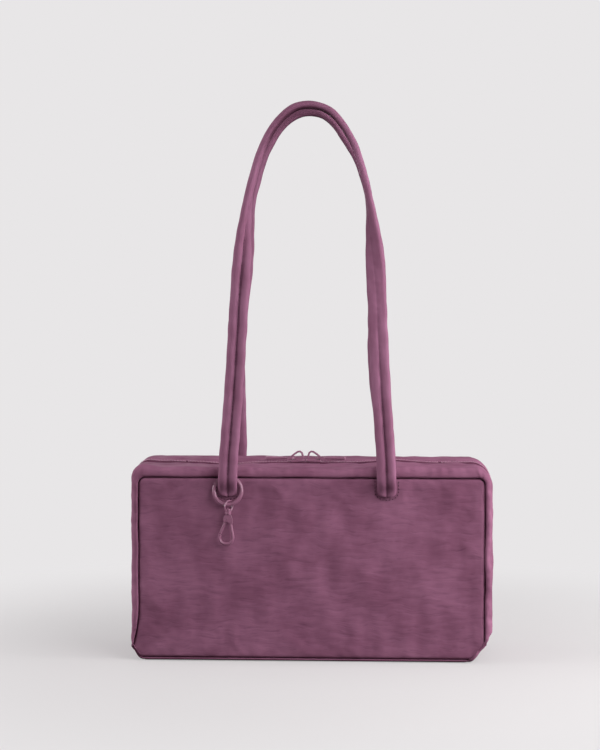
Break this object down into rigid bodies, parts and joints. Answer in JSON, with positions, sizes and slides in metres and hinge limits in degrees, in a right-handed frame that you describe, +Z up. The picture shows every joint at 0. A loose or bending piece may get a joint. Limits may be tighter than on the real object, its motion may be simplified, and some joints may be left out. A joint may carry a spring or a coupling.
{
  "type": "zip-top shoulder bag",
  "caption": "Boxy zip-top shoulder bag with long padded handles, a sliding zip, and a ring with a swivel snap hook.",
  "frame": {"origin": "middle of the base, on the surface the bag stands on", "axes": "+X along the zip towards the right of the front view, +Y from the front panel to the back panel, +Z up"},
  "size_m": [0.302, 0.1116, 0.4719],
  "materials": {
    "crinkled_nylon": "satin",
    "lining_taffeta": "satin",
    "foam_sheet": "matte",
    "fibre_board": "matte",
    "cotton_cord": "matte",
    "moulded_zip": "satin",
    "painted_zinc": "satin"
  },
  "bodies": {
    "bag": {"front_panel": "crinkled_nylon", "back_panel": "crinkled_nylon", "front_foam": "foam_sheet", "back_foam": "foam_sheet", "side_bottom_gusset": "crinkled_nylon", "zip_gusset_front": "crinkled_nylon", "zip_gusset_back": "crinkled_nylon", "zip_end_left": "moulded_zip", "zip_end_right": "moulded_zip", "lining": "lining_taffeta", "base_board": "fibre_board", "handle_foot_front_left": "crinkled_nylon", "handle_foot_front_right": "crinkled_nylon", "handle_foot_back_left": "crinkled_nylon", "handle_foot_back_right": "crinkled_nylon"},
    "front_flap": {"mouth_flap_front": "crinkled_nylon", "zip_chain_front": "moulded_zip"},
    "back_flap": {"mouth_flap_back": "crinkled_nylon", "zip_chain_back": "moulded_zip"},
    "right_slider": {"right_slider_body": "painted_zinc"},
    "left_slider": {"left_slider_body": "painted_zinc"},
    "right_pull": {"right_pull": "painted_zinc"},
    "left_pull": {"left_pull": "painted_zinc"},
    "front_handle": {"front_handle_sleeve": "crinkled_nylon", "front_handle_cord_left": "cotton_cord", "front_handle_cord_right": "cotton_cord"},
    "back_handle": {"back_handle_sleeve": "crinkled_nylon", "back_handle_cord_left": "cotton_cord", "back_handle_cord_right": "cotton_cord"},
    "key_ring": {"ring_body": "painted_zinc", "ring_gate_rivet": "painted_zinc"},
    "ring_gate": {"ring_gate": "painted_zinc"},
    "clasp_eye": {"clasp_eye": "painted_zinc"},
    "clasp_hook": {"clasp_hook": "painted_zinc", "swivel_rivet": "painted_zinc", "gate_rivet": "painted_zinc", "gate_spring": "painted_zinc"},
    "clasp_gate": {"clasp_gate": "painted_zinc"}
  },
  "joints": [
    {"name": "right_slider_slide", "type": "slide", "parent": "bag", "child": "right_slider", "axis": [1, 0, 0], "range_m": [0, 0.1036]},
    {"name": "left_slider_slide", "type": "slide", "parent": "bag", "child": "left_slider", "axis": [-1, 0, 0], "range_m": [0, 0.0906]},
    {"name": "front_flap_fold", "type": "hinge", "parent": "bag", "child": "front_flap", "pos_m": [0, -0.037, 0.1648], "axis": [1, 0, 0], "range_deg": [0, 80], "deforming": ["zip_chain_front"]},
    {"name": "back_flap_fold", "type": "hinge", "parent": "bag", "child": "back_flap", "pos_m": [0, 0.037, 0.1648], "axis": [-1, 0, 0], "range_deg": [0, 80], "deforming": ["zip_chain_back"]},
    {"name": "right_pull_swing", "type": "hinge", "parent": "right_slider", "child": "right_pull", "pos_m": [0.00405, 0, 0.16813], "axis": [0, -1, 0], "range_deg": [0, 100]},
    {"name": "left_pull_swing", "type": "hinge", "parent": "left_slider", "child": "left_pull", "pos_m": [-0.01705, 0, 0.16813], "axis": [0, 1, 0], "range_deg": [0, 100]},
    {"name": "front_handle_fold", "type": "hinge", "parent": "bag", "child": "front_handle", "pos_m": [-0.003, -0.0556, 0.1585], "axis": [1, 0, 0], "range_deg": [0, 115]},
    {"name": "back_handle_fold", "type": "hinge", "parent": "bag", "child": "back_handle", "pos_m": [-0.003, 0.05559, 0.1585], "axis": [-1, 0, 0], "range_deg": [0, 115]},
    {"name": "key_ring_swing", "type": "hinge", "parent": "bag", "child": "key_ring", "pos_m": [-0.0697, -0.0473, 0.15313], "axis": [1, 0, 0], "range_deg": [-20, 0]},
    {"name": "ring_gate_press", "type": "hinge", "parent": "key_ring", "child": "ring_gate", "pos_m": [-0.07954, -0.04788, 0.15071], "axis": [0, -0.9943, 0.107], "range_deg": [0, 12], "stiffness_Nm_per_rad": 0.004, "springref_deg": -8.59},
    {"name": "clasp_eye_slide", "type": "hinge", "parent": "key_ring", "child": "clasp_eye", "pos_m": [-0.0697, -0.04854, 0.1446], "axis": [0, -0.9943, 0.107], "range_deg": [-30, 22]},
    {"name": "clasp_swivel", "type": "hinge", "parent": "clasp_eye", "child": "clasp_hook", "pos_m": [-0.06869, -0.04992, 0.13181], "axis": [0.0837, 0, 0.9965], "range_deg": [-30, 30]},
    {"name": "clasp_gate_press", "type": "hinge", "parent": "clasp_hook", "child": "clasp_gate", "pos_m": [-0.07058, -0.04992, 0.12102], "axis": [0, -1, 0], "range_deg": [0, 25], "stiffness_Nm_per_rad": 0.004, "springref_deg": -8.59, "deforming": ["gate_spring"]}
  ],
  "couplings": [
    {"joint": "left_slider_slide", "follows": "right_slider_slide", "ratio": 0.87451},
    {"joint": "front_flap_fold", "follows": "right_slider_slide", "rad_per_m": 13.477},
    {"joint": "back_flap_fold", "follows": "right_slider_slide", "rad_per_m": 13.477}
  ]
}
